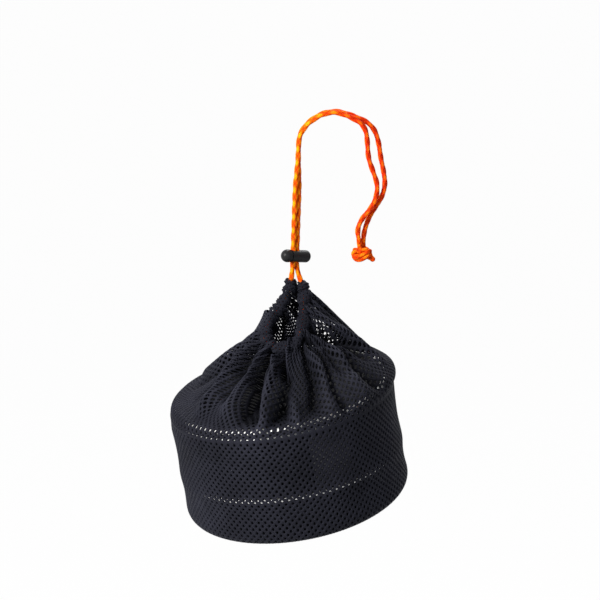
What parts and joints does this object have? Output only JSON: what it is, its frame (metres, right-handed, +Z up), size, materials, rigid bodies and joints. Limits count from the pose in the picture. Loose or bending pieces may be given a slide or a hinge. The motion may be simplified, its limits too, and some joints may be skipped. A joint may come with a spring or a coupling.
{
  "type": "mesh drawstring bag",
  "caption": "Black open-mesh drawstring bag drawn shut with a bright cord and a spring cord lock, hanging from its doubled cord and filled by a drum-shaped load.",
  "frame": {"origin": "crown of the bend where the doubled cord passes over the hand or hook that carries the bag, on the cord's underside", "axes": "+Z up as the bag hangs, +X to the right seen from the front, -Y the front, which the bag's mouth faces"},
  "size_m": [0.2095, 0.1962, 0.3604],
  "materials": {
    "mesh_black": "warp-knitted polyester net, slight sheen",
    "seam_black": "folded net and binding, matt",
    "cord_orange": "braided polypropylene, satin",
    "lock_plastic": "moulded, fine grain",
    "button_plastic": "moulded, satin",
    "spring_steel": "drawn wire",
    "load_metal": "glossy dark coating",
    "grip_metal": "satin dark coating"
  },
  "bodies": {
    "bag": {"base_panel": "mesh_black", "side_panel": "mesh_black", "gathered_top": "mesh_black", "base_seam": "seam_black", "side_seam": "seam_black", "hem_casing": "mesh_black", "cord_mouth": "cord_orange", "cord_left": "cord_orange", "cord_right": "cord_orange", "cord_knot": "cord_orange", "load_dish": "load_metal", "load_pot": "load_metal", "load_lid": "load_metal", "load_grip": "grip_metal"},
    "lock": {"lock_barrel": "lock_plastic", "lock_spring": "spring_steel"},
    "button": {"lock_button": "button_plastic"}
  },
  "joints": [
    {"name": "lock_slide", "type": "slide", "parent": "bag", "child": "lock", "axis": [0, 0, 1], "range_m": [0, 0.05]},
    {"name": "button_press", "type": "slide", "parent": "lock", "child": "button", "axis": [0.6932, 0.6932, -0.1977], "range_m": [0, 0.0012], "stiffness_N_per_m": 500, "springref_m": -0.005, "deforming": ["lock_spring"]}
  ]
}
